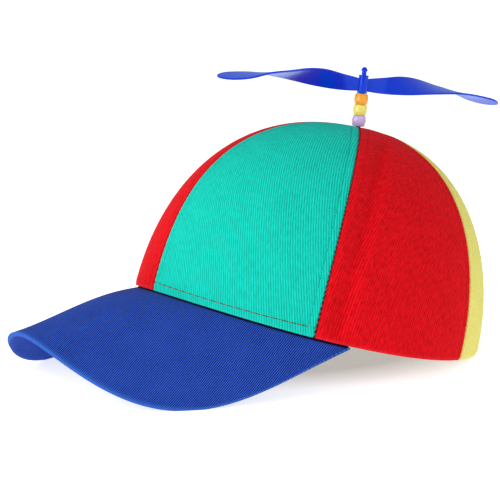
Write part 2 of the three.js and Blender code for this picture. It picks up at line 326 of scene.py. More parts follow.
# Each gore starts at a seam that leaves the rim at its foot, in degrees, and bows on the way up.
# Grain is how far its ribs lean from its centre line at the rim and at the top, anticlockwise from outside.
GORES = [
    {"name": "front_left", "foot": -2.5, "bow": -5, "cloth": "green", "grain": 20, "top_grain": 20},
    {"name": "side_left", "foot": 60, "bow": 0.4, "cloth": "red", "grain": -3, "top_grain": -48},
    {"name": "back_left", "foot": 118, "bow": 1.5, "cloth": "yellow", "grain": 20, "top_grain": 20},
    {"name": "back_right", "foot": 180, "bow": 0, "cloth": "green", "grain": -20, "top_grain": -20},
    {"name": "side_right", "foot": 242, "bow": -1.5, "cloth": "yellow", "grain": 3, "top_grain": 48},
    {"name": "front_right", "foot": 300, "bow": -0.4, "cloth": "red", "grain": -20, "top_grain": -20},
]

# Folds beside a gore's first seam, in mm: the distance from the seam at the rim and at the top, and how deep
# and wide each one is. Less than no depth is a ridge. Each ends at a climb. The last is a pucker at the rim.
FOLDS = {
    "side_left": [
        {"foot": 9, "top": 13.5, "depth": 2.8, "width": 3.8, "ends": 0.94},
        {"foot": 3.6, "top": 5.4, "depth": -0.7, "width": 2.6, "ends": 1},
        {"foot": 17, "top": 22, "depth": -0.6, "width": 5, "ends": 1},
        {"foot": 10.5, "top": 10.5, "depth": 0.7, "width": 1.6, "ends": 0.1},
    ],
}


# %% Where a gore's cloth lies
def seam_angle(gore, climb):
    return math.radians(gore["foot"] + gore["bow"] * math.sin(math.pi * climb**SEAM_BOW_HIGH))


def gore_span(index, climb):
    gore = GORES[index]
    following = GORES[(index + 1) % len(GORES)]
    turn = 2 * math.pi if index + 1 == len(GORES) else 0
    start = seam_angle(gore, climb)
    end = seam_angle(following, climb) + turn
    middle = (start + end) / 2
    radius = rim_radius(middle) * max(math.cos(climb * math.pi / 2), 0) ** fullness(middle, "reach")
    return start, end, middle, radius


def gore_spot(index, across, up):
    rim_start, rim_end, rim_middle, _ = gore_span(index, 0)
    half = (rim_end - rim_start) / 2
    climb = up * climb_to_hole(rim_middle + (2 * across - 1) * half)
    start, end, middle, radius = gore_span(index, climb)
    lap = math.asin(SEAM_LAP / 2 / radius)
    theta = lerp(start - lap, end + lap, across)
    chord = math.cos((end - start) / 2) / math.cos(theta - middle)
    flat = lerp(GORE_FLAT_RIM, GORE_FLAT_TOP, climb)
    point = crown_point(theta, climb, 1 - flat * (1 - chord))
    from_first = (theta - start) * radius
    from_last = (end - theta) * radius
    return {
        "point": point,
        "climb": climb,
        "from_first": from_first,
        "from_middle": (theta - middle) * radius,
        "from_seam": min(from_first, from_last),
        "ease": min(1, (from_first + from_last) / ROLL_NEEDS),
    }


def fading(distance, width):
    return math.exp(-((distance / width) ** 2))


def raised(gore, spot, length_up):
    scallop = 1 + SEAM_SCALLOP * math.cos(2 * math.pi * length_up / SEAM_STITCH)
    height = -SEAM_ROLL * spot["ease"] * scallop * fading(spot["from_seam"], SEAM_ROLL_WIDTH)
    beside = spot["from_seam"] - TOPSTITCH_FROM_SEAM
    height -= TOPSTITCH_DIP * spot["ease"] * fading(beside, TOPSTITCH_DIP_WIDTH)
    height -= HEM_ROLL * fading(length_up, HEM_ROLL_WIDTH)
    clear_of_hem = 1 - fading(length_up, FOLD_ABOVE_HEM)
    for fold in FOLDS.get(gore["name"], []):
        middle = lerp(fold["foot"], fold["top"], spot["climb"]) * MM
        across_fold = fading(spot["from_first"] - middle, fold["width"] * MM)
        left = 1 - min(spot["climb"] / fold["ends"], 1) ** FOLD_FADE
        height -= fold["depth"] * MM * across_fold * left * clear_of_hem
    return height


# How much paler the cloth is made here, partly for rubbing and partly as a painted highlight
def rubbed_and_highlit(spot, length_up):
    at_seam = SEAM_WEAR_AND_HIGHLIGHT * fading(spot["from_seam"], WEAR_AND_HIGHLIGHT_WIDTH) * spot["ease"]
    return max(at_seam, HEM_WEAR_AND_HIGHLIGHT * fading(length_up, WEAR_AND_HIGHLIGHT_WIDTH))


# Painted shade in the groove of a seam, darkest in dashes at the stitch pitch
def painted_seam_shade(spot, length_up):
    stitch = 0.5 + 0.5 * math.cos(2 * math.pi * length_up / SEAM_STITCH)
    return lerp(PAINTED_SHADE_LEAST, 1, stitch) * fading(spot["from_seam"], PAINTED_SHADE_WIDTH) * spot["ease"]


def crowded(share):
    return share - CROWDING * math.sin(2 * math.pi * share) / (2 * math.pi)


def crowded_low(share):
    return share - ROW_CROWDING * math.sin(math.pi * share) / math.pi


# %% Make the gores
def gore_grid(index):
    gore = GORES[index]
    bm = bmesh.new()
    bmesh.ops.create_grid(bm, x_segments=GORE_COLUMNS, y_segments=GORE_ROWS, size=0.5)
    heights = [crowded_low(v.co.y + 0.5) for v in bm.verts]
    spots = [gore_spot(index, crowded(v.co.x + 0.5), up) for v, up in zip(bm.verts, heights)]
    centre = [gore_spot(index, 0.5, i / GORE_ROWS)["point"] for i in range(GORE_ROWS + 1)]
    centre_length = sum((b - a).length for a, b in zip(centre, centre[1:]))
    lengths = [up * centre_length for up in heights]
    # Each vertex gets how much paler it is (rubbing and painted highlight) and how much painted shade darkens
    # it
    wear_and_highlight = bm.verts.layers.float.new("wear_and_highlight")
    painted_shade = bm.verts.layers.float.new("painted_shade")
    for vert, spot, length_up in zip(bm.verts, spots, lengths):
        vert.co = spot["point"]
        vert[wear_and_highlight] = rubbed_and_highlit(spot, length_up)
        vert[painted_shade] = painted_seam_shade(spot, length_up)
    bm.normal_update()
    for vert, spot, length_up in zip(bm.verts, spots, lengths):
        vert.co += vert.normal * raised(gore, spot, length_up)
        vert.co.z = max(vert.co.z, 0)
    lean = math.tan(math.radians(gore["grain"]))
    more_lean = math.tan(math.radians(gore["top_grain"])) - lean
    cloth = bm.loops.layers.uv.new("cloth")
    bm.verts.index_update()
    for face in bm.faces:
        for loop in face.loops:
            at = loop.vert.index
            leant = lean * lengths[at] + more_lean * lengths[at] ** 2 / (2 * centre_length)
            loop[cloth].uv = (spots[at]["from_middle"] + leant, lengths[at])
    gore["length"] = centre_length
    return bm


def add_wall(piece, thickness, hem_round):
    solidify = piece.modifiers.new("cloth thickness", "SOLIDIFY")
    solidify.thickness = thickness
    solidify.offset = -1
    bevel = piece.modifiers.new("turned edge", "BEVEL")
    bevel.width = hem_round
    bevel.segments = 3
    bevel.limit_method = "ANGLE"
    bevel.angle_limit = math.radians(55)


HEM_ROUND = 0.5 * MM
for index, gore in enumerate(GORES):
    bm = gore_grid(index)
    area = sum(face.calc_area() for face in bm.faces)
    panel = piece_from(
        f"gore_{gore['name']}", bm, TWILL[gore["cloth"]], "cap",
        f"crown_panel_{gore['name']}",
    )
    add_wall(panel, WALL, HEM_ROUND)

# %% [markdown]
# ## Stitching
#
# The gores are sewn together from inside. Then a row of stitches down each side of a seam holds its
# allowance flat, in thread of the cloth's own colour, and the front gores have one more row above the peak,
# which is brown on the green cloth. A stitch lies on the cloth and dives into it at both ends. There are
# hundreds, so each is a sphere with few faces, drawn out along its row and half sunk in the cloth. Its UV
# map runs from end to end, so that painted shade can darken the thread where it dives into the cloth.

# %% Thread
PLY_PITCH = 0.12
PLY_DEPTH = 0.05 * MM


def sewing_thread(name, colour, hole_shade, shaded_share):
    material, tree, shader = new_material(name)
    place = add_node(tree, "ShaderNodeUVMap", uv_map="thread").outputs["UV"]
    along = add_node(tree, "ShaderNodeSeparateXYZ", {0: place}).outputs["Y"]
    # Painted shade: both ends of a stitch go dark where the thread dives into its needle hole
    from_end = add_node(tree, "ShaderNodeMath", {0: along, 1: 0.5}, operation="PINGPONG").outputs[0]
    end_shade = add_node(
        tree, "ShaderNodeMapRange",
        {"Value": from_end, "From Min": shaded_share / 2, "From Max": shaded_share, "To Min": 1, "To Max": 0},
    ).outputs[0]
    tone = add_node(
        tree, "ShaderNodeMix", {0: end_shade, 6: linear(colour), 7: linear(hole_shade)}, data_type="RGBA"
    ).outputs[2]
    ply = add_node(
        tree, "ShaderNodeTexWave",
        {"Vector": place, "Scale": wave_scale(PLY_PITCH)}, bands_direction="DIAGONAL",
    ).outputs["Fac"]
    bump = add_node(tree, "ShaderNodeBump", {"Height": ply, "Strength": 0.4, "Distance": PLY_DEPTH})
    tree.links.new(tone, shader.inputs["Base Color"])
    tree.links.new(bump.outputs["Normal"], shader.inputs["Normal"])
    shader.inputs["Roughness"].default_value = 0.8
    shader.inputs["Specular IOR Level"].default_value = 0.08
    return material


# Each thread: its colour, the dark of painted shade at its ends, and how far in from the ends that shade
# reaches
THREAD = {
    "green": sewing_thread("polyester_thread_green", "#10a892", "#045044", 0.36),
    "red": sewing_thread("polyester_thread_red", "#cc0814", "#8c0008", 0.2),
    "yellow": sewing_thread("polyester_thread_yellow", "#e8e07c", "#a49840", 0.2),
    "brown": sewing_thread("polyester_thread_brown", "#7c5e2c", "#060c08", 0.48),
}
print("thread:", ", ".join(THREAD))

# %% Rows of stitches on a gore
NUDGE = 0.001
ROW_SAMPLES = 400
STITCH_SIDES = 6
STITCH_RINGS = 5
STITCH_FLATNESS = 0.6


def cloth_at(index, across, up):
    spot = gore_spot(index, across, up)
    sideways = gore_spot(index, across + NUDGE, up)["point"] - spot["point"]
    upwards = gore_spot(index, across, up + NUDGE)["point"] - spot["point"]
    normal = sideways.cross(upwards).normalized()
    gore = GORES[index]
    return spot["point"] + normal * raised(gore, spot, up * gore["length"]), normal


def stitch_places(index, path, pitch):
    line = [cloth_at(index, *path(i / ROW_SAMPLES)) for i in range(ROW_SAMPLES + 1)]
    places = []
    walked = 0
    for (before, _), (after, normal) in zip(line, line[1:]):
        walked += (after - before).length
        if walked >= pitch:
            walked -= pitch
            places.append((after, (after - before).normalized(), normal))
    return places


def stitch_mesh(places, length, width):
    bm = bmesh.new()
    bm.loops.layers.uv.new("thread")
    for centre, along, normal in places:
        side = normal.cross(along).normalized()
        lift = along.cross(side)
        shape = Matrix((side * width, lift * width * STITCH_FLATNESS, along * length)).transposed().to_4x4()
        bmesh.ops.create_uvsphere(
            bm, u_segments=STITCH_SIDES, v_segments=STITCH_RINGS, radius=0.5,
            matrix=Matrix.Translation(centre) @ shape, calc_uvs=True,
        )
    return bm


# %% Sew the rows beside the seams
TOPSTITCH_PITCH = 3.1 * MM
TOPSTITCH_LENGTH = 2.5 * MM
THREAD_WIDTH = 0.55 * MM
TOPSTITCH_FROM = 0.02
TOPSTITCH_TO = 0.9


def beside_seam(index, last):
    def path(share):
        up = lerp(TOPSTITCH_FROM, TOPSTITCH_TO, share)
        start, end, _, radius = gore_span(index, up)
        across = TOPSTITCH_FROM_SEAM / radius / (end - start)
        return (1 - across if last else across), up
    return path


for cloth in ("green", "red", "yellow"):
    sewn = [index for index, gore in enumerate(GORES) if gore["cloth"] == cloth]
    places = []
    for index in sewn:
        for last in (False, True):
            places += stitch_places(index, beside_seam(index, last), TOPSTITCH_PITCH)
    bm = stitch_mesh(places, TOPSTITCH_LENGTH, THREAD_WIDTH)
    piece_from(f"topstitching_{cloth}", bm, THREAD[cloth], "cap")

# %% Sew the rows above the peak
HEM_ROW_FIRST = 4.4 * MM
HEM_ROW_LAST = 5.0 * MM
HEM_ROW_ARCH = -0.9 * MM
HEM_STITCH_PITCH = 4.8 * MM
HEM_STITCH_LENGTH = 6.2 * MM


def above_peak(index):
    def path(across):
        theta = lerp(*gore_span(index, 0)[:2], across)
        height = lerp(HEM_ROW_FIRST, HEM_ROW_LAST, across) + HEM_ROW_ARCH * math.sin(math.pi * across)
        rise = height / (CROWN_HEIGHT - rim_point(theta).z)
        return across, math.asin(rise ** (1 / fullness(theta, "rise"))) / (math.pi / 2)
    return path


for index, thread in ((0, "brown"), (len(GORES) - 1, "red")):
    places = stitch_places(index, above_peak(index), HEM_STITCH_PITCH)
    bm = stitch_mesh(places, HEM_STITCH_LENGTH, THREAD_WIDTH)
    gore = GORES[index]
    piece_from(f"hem_stitching_{gore['name']}", bm, THREAD[thread], "cap")

# %% [markdown]
# ## The peak
#
# The peak is a stiff board in a sleeve of the same twill, bent so that its sides hang down. Its upper face
# is a sheet between the line where it is sewn to the crown and its lip, so a grid is bent onto that first.
# Its sewn edge is extruded up inside the crown, as a seam allowance is. The faces are then extruded down by
# the thickness of the board, which is skived thin at the corners, and the lip is bevelled until it is
# round, as the cloth wraps it. The lip is made paler before the bevel, partly because it is the most rubbed
# part of the cap and partly as a painted highlight. Painted shade darkens the top of the peak along the
# line where it is sewn, under the crown's hem.

# %% Sizes of the peak
PEAK_THICKNESS = 3.2 * MM
PEAK_CORNER_THICKNESS = 1.2 * MM
PEAK_LIP_THICKNESS = 2.3 * MM
PEAK_SKIVING = 6
PEAK_END = math.radians(71)
PEAK_LENGTH = 78 * MM
PEAK_DROOP = math.radians(9.6)
PEAK_BULGE = 0.8 * MM
PEAK_SQUARENESS = 0.68
PEAK_CURL = 24.5 * MM
PEAK_CURL_SIDE = 1.82
PEAK_CURL_FRONT = 0.76
PEAK_SWELL = 4 * MM
PEAK_TUCK = 1.6 * MM
SEWN_GAP = 0.9 * MM
PEAK_COLUMNS = 168
PEAK_ROWS = 48
PEAK_ROW_CROWDING = 1.5
PEAK_GRAIN = math.radians(28)
ALLOWANCE_UP = 3 * MM
ALLOWANCE_IN = 0.03
AT_LIP = 0.999
LIP_EDGE_ANGLE = 0.7
LIP_ROUND = 1.0 * MM
# How much paler the lip is: partly rubbing, partly painted highlight
LIP_WEAR_AND_HIGHLIGHT = 0.3
# How far the painted shade reaches out from the sewn edge
PEAK_PAINTED_SHADE_WIDTH = 0.8 * MM

BELOW_RIM = Vector((0, 0, -GAP))
PEAK_CORNER = CROWN_PLACE @ (rim_point(PEAK_END) + BELOW_RIM)
PEAK_MIDDLE = CROWN_PLACE @ (rim_point(0) + BELOW_RIM)
CURL_PLACE = PEAK_CURL_SIDE / (PEAK_CURL_SIDE + PEAK_CURL_FRONT)
CURL_MOST = math.sqrt(CURL_PLACE) ** PEAK_CURL_SIDE * math.sqrt(1 - CURL_PLACE) ** PEAK_CURL_FRONT
LIP_FRONT = PEAK_MIDDLE - PEAK_LENGTH * Vector((0, math.cos(PEAK_DROOP), math.sin(PEAK_DROOP)))


# %% Points of the peak
def lip_point(across):
    side = math.sin(across * math.pi / 2)
    ahead = max(math.cos(across * math.pi / 2), 0)
    curl = PEAK_CURL * abs(side) ** PEAK_CURL_SIDE * ahead**PEAK_CURL_FRONT / CURL_MOST
    return Vector((
        PEAK_CORNER.x * side + 2 * PEAK_BULGE * side * ahead,
        lerp(PEAK_CORNER.y, LIP_FRONT.y, ahead**PEAK_SQUARENESS),
        lerp(LIP_FRONT.z, PEAK_CORNER.z, side**2) - curl,
    ))


def sewn_point(across):
    theta = across * PEAK_END
    inwards = 1 - PEAK_TUCK / rim_radius(theta)
    rim = rim_point(theta)
    return CROWN_PLACE @ Vector((rim.x * inwards, rim.y * inwards, rim.z - SEWN_GAP))


# The swell is most a third of the way along, where its formula gives 4/27.
SWELL_SCALE = 27 / 4


def peak_top(across, along):
    point = sewn_point(across).lerp(lip_point(across), along)
    swell = SWELL_SCALE * along * (1 - along) ** 2 * max(math.cos(across * math.pi / 2), 0)
    return point + Vector((0, 0, PEAK_SWELL * swell))


# A hanging side is longer than it is wide, by about as much as a parabola of that drop.
def laid_flat(point):
    ridge = lerp(PEAK_MIDDLE.z, LIP_FRONT.z, (point.y - PEAK_MIDDLE.y) / (LIP_FRONT.y - PEAK_MIDDLE.y))
    hang = max(ridge - point.z, 0) / max(abs(point.x), MM)
    return Vector((point.x * (1 + 2 / 3 * min(hang, 1) ** 2), point.y))


# %% Make the peak
def peak_mesh():
    bm = bmesh.new()
    bmesh.ops.create_grid(bm, x_segments=PEAK_COLUMNS, y_segments=PEAK_ROWS, size=0.5)
    across_of = bm.verts.layers.float.new("across")
    along_of = bm.verts.layers.float.new("along")
    painted_shade = bm.verts.layers.float.new("painted_shade")
    cloth = bm.loops.layers.uv.new("cloth")
    turn = Matrix.Rotation(-PEAK_GRAIN, 2)
    for vert in bm.verts:
        vert[across_of] = 2 * vert.co.x
        vert[along_of] = (0.5 - vert.co.y) ** PEAK_ROW_CROWDING
        vert.co = peak_top(vert[across_of], vert[along_of])
        # Painted shade on the peak's top, fading out from the sewn edge under the hem
        from_crown = (vert.co - sewn_point(vert[across_of])).length
        vert[painted_shade] = fading(from_crown, PEAK_PAINTED_SHADE_WIDTH)
    for face in bm.faces:
        for loop in face.loops:
            loop[cloth].uv = turn @ laid_flat(loop.vert.co)
    sewn = [e for e in bm.edges if all(v[along_of] == 0 for v in e.verts)]
    allowance = bmesh.ops.extrude_edge_only(bm, edges=sewn)
    turned_up = verts_in(allowance)
    for vert in turned_up:
        vert.co = vert.co.lerp(RIM_CENTRE, ALLOWANCE_IN)
        vert[painted_shade] = 0
    bmesh.ops.translate(bm, vec=CROWN_PLACE.to_3x3() @ Vector((0, 0, ALLOWANCE_UP)), verts=turned_up)
    bm.normal_update()
    made = bmesh.ops.extrude_face_region(bm, geom=list(bm.faces), use_keep_orig=True)
    for vert in verts_in(made):
        board = lerp(PEAK_THICKNESS, PEAK_LIP_THICKNESS, vert[along_of] ** PEAK_SKIVING)
        thickness = lerp(board, PEAK_CORNER_THICKNESS, vert[across_of] ** PEAK_SKIVING)
        vert.co -= vert.normal * thickness
    bmesh.ops.recalc_face_normals(bm, faces=bm.faces)
    outer = [e for e in bm.edges if all(v[along_of] > AT_LIP for v in e.verts)]
    lip = [e for e in outer if e.calc_face_angle(0) > LIP_EDGE_ANGLE]
    # Mark the lip paler, partly for rubbing and partly as a painted highlight
    wear_and_highlight = bm.verts.layers.float.new("wear_and_highlight")
    for edge in lip:
        for vert in edge.verts:
            vert[wear_and_highlight] = LIP_WEAR_AND_HIGHLIGHT
    rounded(bm, lip, LIP_ROUND, 4)
    for vert in bm.verts:
        vert.co.z = max(vert.co.z, 0)
    return bm


piece_from("peak_board", peak_mesh(), TWILL["blue"], "cap", "peak")

# %% [markdown]
# ## Moulded plastic
#
# The propeller, its pin and the beads are injection moulded. The propeller and pin are polypropylene, which
# is smooth and a little waxy: its long soft reflections take on some of its blue, and it has a pale bloom
# where it is seen edge on. The beads are polystyrene, harder and glossier, and they let some light in. A
# faint unevenness in the gloss keeps both from looking like glass.

# %% Plastics
GLOSS_PATCH = 3 * MM
GLOSS_SMOOTHEST = 0.7
GLOSS_ROUGHEST = 1.4
LIGHT_REACH = 2 * MM
BLOOM_TINT = "#4a90ff"
GLEAM_TINT = "#7aa8ff"
PLAIN_GLEAM = "#ffffff"


def moulded_plastic(name, colour, shade, roughness, ior, inside, mirror=0.5, gleam=PLAIN_GLEAM, bloom=0.0):
    material, tree, shader = new_material(name)
    place = add_node(tree, "ShaderNodeTexCoord").outputs["Object"]
    patches = add_node(tree, "ShaderNodeTexNoise", {"Vector": place, "Scale": 1 / GLOSS_PATCH, "Detail": 2.0})
    patch = patches.outputs["Fac"]
    tone = add_node(tree, "ShaderNodeMix", {0: patch, 6: linear(shade), 7: linear(colour)}, data_type="RGBA")
    gloss = add_node(
        tree, "ShaderNodeMapRange",
        {"Value": patch, "To Min": roughness * GLOSS_SMOOTHEST, "To Max": roughness * GLOSS_ROUGHEST},
    )
    tree.links.new(tone.outputs[2], shader.inputs["Base Color"])
    tree.links.new(gloss.outputs["Result"], shader.inputs["Roughness"])
    shader.inputs["IOR"].default_value = ior
    shader.inputs["Specular IOR Level"].default_value = mirror
    shader.inputs["Specular Tint"].default_value = linear(gleam)
    shader.inputs["Sheen Weight"].default_value = bloom
    shader.inputs["Sheen Roughness"].default_value = 0.4
    shader.inputs["Sheen Tint"].default_value = linear(BLOOM_TINT)
    shader.inputs["Subsurface Weight"].default_value = inside
    shader.inputs["Subsurface Radius"].default_value = (LIGHT_REACH, LIGHT_REACH, LIGHT_REACH)
    shader.inputs["Subsurface Scale"].default_value = 1.0
    return material


POLYPROPYLENE = moulded_plastic(
    "polypropylene_blue", "#0532d6", "#042cc8", 0.2, 1.49, 0.0, mirror=0.8, gleam=GLEAM_TINT, bloom=0.6
)
POLYSTYRENE = {
    "lilac": moulded_plastic("polystyrene_lilac", "#dcc6f0", "#ccb0e2", 0.16, 1.59, 0.3),
    "yellow": moulded_plastic("polystyrene_yellow", "#f8ee84", "#ecdf62", 0.16, 1.59, 0.3),
    "orange": moulded_plastic("polystyrene_orange", "#ffb01c", "#f79c0c", 0.16, 1.59, 0.3),
}
print("plastics:", POLYPROPYLENE.name, ", ".join(POLYSTYRENE))

# %% [markdown]
# ## Pin and beads
#
# The pin stands on the top of the crown and leans back a little. Round pieces are spun: the outline of one
# side is drawn with a few vertices in the XZ plane, and a spin sweeps it round the axis. A bead is a
# barrel, whose rims are bevelled as a mould leaves them. Everything is shaped upright, then moved onto the
# pin's own axis, which comes from the joint that the propeller turns on.

# %% The pin's axis
spin_joint = frame["joints"][0]
pin_axis = Vector(spin_joint["axis"]).normalized()
PIN_PLACE = Matrix.Translation(CROWN_TOP) @ pin_axis.to_track_quat("Z", "Y").to_matrix().to_4x4()
hub_middle = (Vector(spin_joint["pos_m"]) - CROWN_TOP).dot(pin_axis)
ROUND_STEPS = 48
SAME_SPOT = 0.001 * MM
SAME_RADIUS = 0.01 * MM


def spun(outline, closed):
    bm = bmesh.new()
    corners = [bm.verts.new((radius * MM, 0, height * MM)) for radius, height in outline]
    pairs = list(zip(corners, corners[1:]))
    if closed:
        pairs.append((corners[-1], corners[0]))
    edges = [bm.edges.new(pair) for pair in pairs]
    bmesh.ops.spin(
        bm, geom=corners + edges, cent=(0, 0, 0), axis=(0, 0, 1), dvec=(0, 0, 0), angle=2 * math.pi,
        steps=ROUND_STEPS, use_merge=True, use_duplicate=False,
    )
    bmesh.ops.remove_doubles(bm, verts=bm.verts, dist=SAME_SPOT)
    bmesh.ops.recalc_face_normals(bm, faces=bm.faces)
    return bm


def rims(bm, radius):
    return [
        e for e in bm.edges
        if all(abs(v.co.xy.length - radius) < SAME_RADIUS for v in e.verts)
        and abs(e.verts[0].co.z - e.verts[1].co.z) < SAME_SPOT
    ]


print("hub is", round(hub_middle / MM, 2), "mm up the pin")

# %% Make the pin
PIN_RADIUS = 1.3
PIN_FLANGE_RADIUS = 6
PIN_FLANGE_TOP = -2.9
PIN_FLANGE_BASE = -4.1
PIN_TIP_RADIUS = 1.9
PIN_TIP_BASE = 30.7
PIN_TIP_TOP = 32.8
PIN_TIP_CROWN = 0.9
PIN_TIP_ROUND = 0.3
PIN_CROWN_ROUND = 0.4

pin_bm = spun([
    (0, PIN_FLANGE_BASE),
    (PIN_FLANGE_RADIUS, PIN_FLANGE_BASE),
    (PIN_FLANGE_RADIUS, PIN_FLANGE_TOP),
    (PIN_RADIUS, PIN_FLANGE_TOP),
    (PIN_RADIUS, PIN_TIP_BASE),
    (PIN_TIP_RADIUS, PIN_TIP_BASE),
    (PIN_TIP_RADIUS, PIN_TIP_TOP - 2 * PIN_TIP_CROWN),
    (PIN_TIP_CROWN, PIN_TIP_TOP),
    (0, PIN_TIP_TOP),
], closed=False)
rounded(pin_bm, rims(pin_bm, PIN_TIP_RADIUS * MM), PIN_TIP_ROUND * MM, 3)
rounded(pin_bm, rims(pin_bm, PIN_TIP_CROWN * MM), PIN_CROWN_ROUND * MM, 3)
bmesh.ops.transform(pin_bm, matrix=PIN_PLACE, verts=pin_bm.verts)
piece_from("pin_moulding", pin_bm, POLYPROPYLENE, "cap", "pin")

# %% Make the beads
BEAD_RADIUS = 3.85
BEAD_HEIGHT = 5.9
BEAD_PITCH = 5.95
BEAD_FIRST = 0.45
BEAD_END_RADIUS = 3.25
BEAD_END_ROUND = 0.45
BARREL_STEPS = 12
BORE_RADIUS = 1.6
BORE_ROUND = 0.3


def barrel_radius(share):
    return lerp(BEAD_END_RADIUS, BEAD_RADIUS, 1 - (2 * share - 1) ** 2)


for index, colour in enumerate(POLYSTYRENE):
    base = BEAD_FIRST + index * BEAD_PITCH
    shares = [i / BARREL_STEPS for i in range(BARREL_STEPS + 1)]
    barrel = [(barrel_radius(share), base + share * BEAD_HEIGHT) for share in shares]
    bead_bm = spun([(BORE_RADIUS, base)] + barrel + [(BORE_RADIUS, base + BEAD_HEIGHT)], closed=True)
    rounded(bead_bm, rims(bead_bm, BEAD_END_RADIUS * MM), BEAD_END_ROUND * MM, 3)
    rounded(bead_bm, rims(bead_bm, BORE_RADIUS * MM), BORE_ROUND * MM, 2)
    bmesh.ops.transform(bead_bm, matrix=PIN_PLACE, verts=bead_bm.verts)
    piece_from(f"pony_bead_{colour}", bead_bm, POLYSTYRENE[colour], "cap", f"bead_{colour}")

# %% [markdown]
# ## Propeller
#
# The propeller is one moulding: a short hub with a pair of thin blades that twist from upright at the hub
# to flat near the ends, so that wind turns it. A blade is a grid that is bent by a short table of sections,
# with smooth steps between the rows. It is then given its thickness, and its edges are rounded. The second
# blade is the first one turned half way round.

# %% Sizes of the propeller
HUB_RADIUS = 2.6
HUB_FOOT_RADIUS = 2.75
HUB_BASE = 18.4
HUB_TOP = 28.4
HUB_LIP = 0.7
HUB_ROUND = 0.2
HUB_WALL_MIDDLE = 2.15
BLADE_REACH = 87
BLADE_THICKNESS = 1.0
BLADE_TIP = 9
BLADE_TIP_LEAST = 0.25
BLADE_TURN = math.radians(82)
BLADE_COLUMNS = 110
BLADE_ROWS = 12
BLADE_CROWDING = 1.3
BLADE_EDGE_ANGLE = 1.2
BLADE_EDGE_ROUND = 0.3

# Millimetres out from the axis, width, pitch in degrees and rise above the middle of the hub
BLADE_SECTIONS = [
    {"at": 0, "width": 6.4, "pitch": 90, "rise": -0.4},
    {"at": 13, "width": 9.4, "pitch": 66, "rise": 0.2},
    {"at": 25, "width": 12.5, "pitch": 49, "rise": 1.3},
    {"at": 37, "width": 14.8, "pitch": 30, "rise": 1.8},
    {"at": 48, "width": 15.4, "pitch": 15, "rise": 1.4},
    {"at": 59, "width": 15, "pitch": 4, "rise": 0.8},
    {"at": 72, "width": 12.6, "pitch": -12, "rise": -1.5},
    {"at": 87, "width": 9, "pitch": -19, "rise": -3.4},
]


# %% Smooth steps between the sections
def slope_at(index, key):
    before = BLADE_SECTIONS[max(index - 1, 0)]
    after = BLADE_SECTIONS[min(index + 1, len(BLADE_SECTIONS) - 1)]
    return (after[key] - before[key]) / (after["at"] - before["at"])


def section_value(at, key):
    index = max(i for i, section in enumerate(BLADE_SECTIONS[:-1]) if section["at"] <= at)
    near, far = BLADE_SECTIONS[index], BLADE_SECTIONS[index + 1]
    step = far["at"] - near["at"]
    t = (at - near["at"]) / step
    return (
        near[key] * (2 * t**3 - 3 * t**2 + 1)
        + far[key] * (3 * t**2 - 2 * t**3)
        + slope_at(index, key) * step * (t**3 - 2 * t**2 + t)
        + slope_at(index + 1, key) * step * (t**3 - t**2)
    )


def blade_point(at, across):
    beyond = max(at - (BLADE_REACH - BLADE_TIP), 0) / BLADE_TIP
    narrowing = max(math.sqrt(max(1 - beyond**2, 0)), BLADE_TIP_LEAST)
    width = section_value(at, "width") * narrowing
    pitch = math.radians(section_value(at, "pitch"))
    chord = Vector((0, math.cos(pitch), math.sin(pitch)))
    return (Vector((at, 0, section_value(at, "rise"))) + chord * across * width) * MM


# %% Make the propeller
def blade_mesh():
    bm = bmesh.new()
    bmesh.ops.create_grid(bm, x_segments=BLADE_COLUMNS, y_segments=BLADE_ROWS, size=0.5)
    for vert in bm.verts:
        out = 1 - (0.5 - vert.co.x) ** BLADE_CROWDING if vert.co.x < 0.5 else 1
        vert.co = blade_point(lerp(HUB_WALL_MIDDLE, BLADE_REACH, out), vert.co.y)
    bm.normal_update()
    for vert in bm.verts:
        vert.co += vert.normal * BLADE_THICKNESS / 2 * MM
    made = bmesh.ops.extrude_face_region(bm, geom=list(bm.faces), use_keep_orig=True)
    for vert in verts_in(made):
        vert.co -= vert.normal * BLADE_THICKNESS * MM
    bmesh.ops.recalc_face_normals(bm, faces=bm.faces)
    borders = [e for e in bm.edges if e.calc_face_angle(0) > BLADE_EDGE_ANGLE]
    rounded(bm, borders, BLADE_EDGE_ROUND * MM, 2)
    return bm


propeller_bm = blade_mesh()
first_blade = propeller_bm.verts[:] + propeller_bm.edges[:] + propeller_bm.faces[:]
copied = bmesh.ops.duplicate(propeller_bm, geom=first_blade)
half_turn = Matrix.Rotation(math.pi, 3, "Z")
bmesh.ops.rotate(propeller_bm, cent=(0, 0, 0), matrix=half_turn, verts=verts_in(copied))
onto_hub = Matrix.Translation((0, 0, hub_middle)) @ Matrix.Rotation(BLADE_TURN, 4, "Z")
bmesh.ops.transform(propeller_bm, matrix=onto_hub, verts=propeller_bm.verts)

hub_bm = spun([
    (BORE_RADIUS, HUB_BASE),
    (HUB_FOOT_RADIUS, HUB_BASE),
    (HUB_RADIUS, HUB_TOP - 2 * HUB_LIP),
    (HUB_RADIUS, HUB_TOP - HUB_LIP),
    (HUB_FOOT_RADIUS, HUB_TOP - HUB_LIP),
    (HUB_FOOT_RADIUS, HUB_TOP),
    (BORE_RADIUS, HUB_TOP),
], closed=True)
rounded(hub_bm, rims(hub_bm, HUB_FOOT_RADIUS * MM), HUB_ROUND * MM, 2)
hub_mesh = bpy.data.meshes.new("hub")
hub_bm.to_mesh(hub_mesh)
hub_bm.free()
propeller_bm.from_mesh(hub_mesh)
bpy.data.meshes.remove(hub_mesh)
bmesh.ops.transform(propeller_bm, matrix=PIN_PLACE, verts=propeller_bm.verts)
piece_from("propeller_moulding", propeller_bm, POLYPROPYLENE, "propeller", "propeller")

